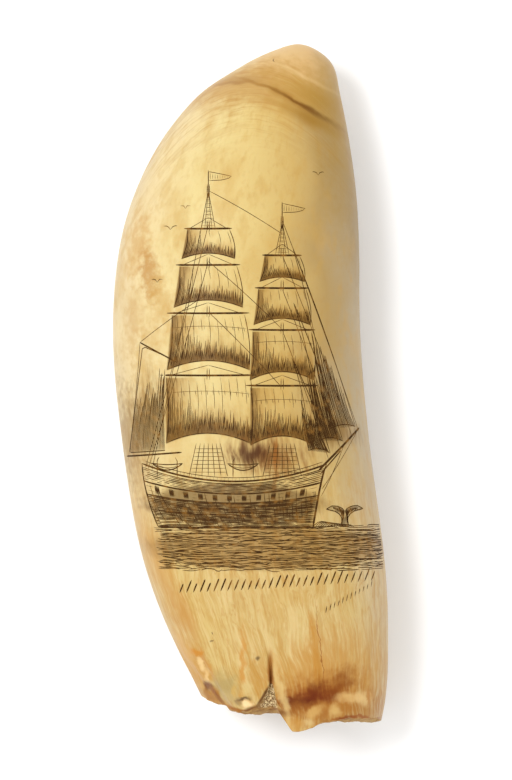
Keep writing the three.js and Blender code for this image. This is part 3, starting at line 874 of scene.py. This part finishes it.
hull_strokes = [(plank(0, 1, 0), 0.4), (plank(0, 1, 0.055), 0.2), (plank(0, 1, 0.27), 0.34),
                (plank(0, 1, 0.47), 0.34), (plank(0, 1, 1.0), 0.4),
                (plank(0, 0, 0, 1, 12), 0.45), (plank(1, 1, 0, 1, 12), 0.4)]
for down in np.arange(0.08, 0.27, 0.03):
    start = 0.0
    while start < 1:
        stop = min(1.0, start + hand.uniform(0.04, 0.2))
        hull_strokes.append((plank(start, stop, down), hand.uniform(0.14, 0.26)))
        start = stop + hand.uniform(0.002, 0.02)
for down in np.arange(0.5, 1.0, 0.026):
    start = 0.0
    while start < 1:
        stop = min(1.0, start + hand.uniform(0.08, 0.3))
        hull_strokes.append((plank(start, stop, down + hand.normal(0, 0.003)), hand.uniform(0.18, 0.28)))
        start = stop + hand.uniform(0.001, 0.012)
for back in np.linspace(0.01, 0.99, 120):
    low = hand.uniform(0.55, 0.98)
    hull_strokes.append((plank(back, back + 0.012, low, low - hand.uniform(0.1, 0.3), 4), 0.14))
for back in np.linspace(0.1, 0.93, 11):
    for step in np.linspace(-0.011, 0.011, 6):
        hull_strokes.append((plank(back + step, back + step, 0.3, 0.43, 3), 0.24))
for down in (0.33, 0.4):
    for start in np.linspace(0.02, 0.95, 16):
        hull_strokes.append((plank(start, start + hand.uniform(0.01, 0.045), down), 0.09))
# Two boats hang on their davits over the rail.
for boat_x in (-18.2, -1.6):
    hull_strokes.append((bow((boat_x - 3.4, -17.0), (boat_x + 3.4, -17.0), -0.3), 0.22))
    hull_strokes.append((bow((boat_x - 3.4, -17.0), (boat_x + 3.4, -17.0), -1.5), 0.26))
    hull_strokes.append((bow((boat_x - 2.7, -17.5), (boat_x + 2.7, -17.5), -0.5), 0.12))
    for aside in (-2.2, 2.2):
        davit = join_up((boat_x + aside, -20.2), (boat_x + aside, -16.2), (boat_x + aside * 0.8, -15.7))
        hull_strokes.append((davit, 0.2))
# The rail and its stanchions.
for back in np.linspace(0.03, 0.97, 48):
    x, y = hull_spot(back, 0)
    hull_strokes.append((join_up((x, y), (x + 0.05, y + 0.75)), 0.12))
rail = np.array([hull_spot(back, 0) for back in np.linspace(0.02, 0.98, 40)])
hull_strokes.append((rail + (0, 0.8), 0.14))
engrave("engraved_hull", hull_strokes)

# ---------------------------------------------------------------------------------------------------------
# The sea: a band of close, uneven level scratches, inked as the rest is, with a curling wave at the bow. A
# whale's flukes stand up ahead of the ship.
# ---------------------------------------------------------------------------------------------------------
SEA_TOP = -30.6
SEA_FOOT = -40.2
sea_strokes = []
for y in np.arange(SEA_FOOT, SEA_TOP, 0.27):
    x = -21.5 + 1.6 * hand.random() + 0.12 * (SEA_TOP - y)
    while x < 28.5:
        long = hand.uniform(1.5, 7.5)
        start = (x, y + hand.normal(0, 0.12))
        end = (min(x + long, 29.4), y + hand.normal(0, 0.12))
        sea_strokes.append((bow(start, end, hand.normal(0, 0.16), 0.05), hand.uniform(0.1, 0.22)))
        x += long + hand.uniform(-0.6, 1.3)
for turn in range(14):
    x = 13.6 + 0.5 * turn
    sea_strokes.append((bow((x, SEA_TOP - 0.3), (x + 2.6, SEA_TOP + 0.9 - 0.1 * turn), 0.5), 0.16))
FLUKES = (20.6, -31.0)
TRAILING = np.array([(0, 3.5), (0.5, 4.1), (1.5, 4.6), (2.8, 4.7), (4.1, 4.0)])
LEADING = np.array([(0.95, 0), (0.55, 1.6), (0.9, 2.7), (2.1, 3.5), (4.1, 4.0)])
for side in (-1, 1):
    trailing, leading = (FLUKES + edge * (side, 1) for edge in (TRAILING, LEADING))
    sea_strokes += [(join_up(*trailing), 0.2), (join_up(*leading), 0.24)]
    for share in np.linspace(0.06, 3.8, 26):
        step, rest = int(share), share % 1
        high, low = (edge[step] + (edge[step + 1] - edge[step]) * rest for edge in (trailing, leading))
        sea_strokes.append((bow(high, low + (high - low) * hand.uniform(0, 0.4), 0.1), 0.17))
for x in np.linspace(-0.6, 0.6, 5):
    sea_strokes.append((join_up(FLUKES + np.array((x, 0.1)), FLUKES + np.array((x * 0.6, 2.6))), 0.17))
engrave("engraved_sea", sea_strokes)

# ---------------------------------------------------------------------------------------------------------
# Under the picture, where such teeth carry writing, are two rows of plain leaning scratches that spell
# nothing. A few gulls are cut round the ship. All are inked.
# ---------------------------------------------------------------------------------------------------------
mark_strokes = []
for x in np.arange(-15.5, 27, 1.5):
    base = -45.4 + 0.062 * (x + 15.5)
    tall = hand.choice([2.0, 2.4, 2.8])
    mark_strokes.append((join_up((x, base), (x + 0.4 * tall, base + tall)), 0.34))
start, way = np.array([16.4, -49.6]), np.array([0.87, 0.47])
for step in np.arange(0, 12.6, 1.05):
    foot = start + way * step
    mark_strokes.append((join_up(foot, foot + (0.25, hand.choice([1.2, 1.45]))), 0.22))
for x, y, span in ((-17.5, 34, 1.5), (-14.2, 38.6, 1.1), (14.8, 46, 1.3), (-20.4, 22.5, 1.2)):
    for side in (-1, 1):
        mark_strokes.append((bow((x, y), (x + side * span, y + 0.55 * span), side * 0.35), 0.17))
engrave("engraved_marks", mark_strokes)

# ---------------------------------------------------------------------------------------------------------
# Table and studio light: a plain white table under a pale sky, which shows only faintly in the polish, and
# one broad soft lamp high on the left.
# ---------------------------------------------------------------------------------------------------------
TABLE_HALF = 3
TABLE_DROP = 0.2 * MM
TABLE_WHITE = (0.92, 0.92, 0.92, 1)
SKY = 1.1
SKY_IN_GLOSS = 0.35
LAMP_PLACE = Vector((-0.38, 0.22, 1.05))
LAMP_SIZE = 0.3
LAMP_POWER = 6.6

table_mesh = bpy.data.meshes.new("table")
table_corners = [(x * TABLE_HALF, y * TABLE_HALF, 0) for x, y in ((-1, -1), (1, -1), (1, 1), (-1, 1))]
table_mesh.from_pydata(table_corners, [], [(0, 1, 2, 3)])
table = bpy.data.objects.new("table", table_mesh)
table.location.z = -TABLE_DROP
bpy.context.scene.collection.objects.link(table)
white = bpy.data.materials.new("white_table")
white.use_nodes = True
white.node_tree.nodes["Principled BSDF"].inputs["Base Color"].default_value = TABLE_WHITE
white.node_tree.nodes["Principled BSDF"].inputs["Roughness"].default_value = 0.9
table_mesh.materials.append(white)

world = bpy.data.worlds.new("pale_studio")
bpy.context.scene.world = world
world.use_nodes = True
world.node_tree.nodes["Background"].inputs["Color"].default_value = (1, 1, 1, 1)
sky_light = put(world.node_tree, "LightPath", {}).outputs["Is Glossy Ray"]
sky_light = calculate(world.node_tree, "MULTIPLY_ADD", sky_light, SKY_IN_GLOSS - SKY, SKY)
world.node_tree.links.new(sky_light, world.node_tree.nodes["Background"].inputs["Strength"])

key_light = bpy.data.lights.new("key_lamp", "AREA")
key_light.size = LAMP_SIZE
key_light.energy = LAMP_POWER
key_lamp = bpy.data.objects.new("key_lamp", key_light)
key_lamp.location = LAMP_PLACE
key_lamp.rotation_euler = (-LAMP_PLACE).to_track_quat("-Z", "Y").to_euler()
bpy.context.scene.collection.objects.link(key_lamp)

bpy.context.scene.view_settings.view_transform = "Standard"
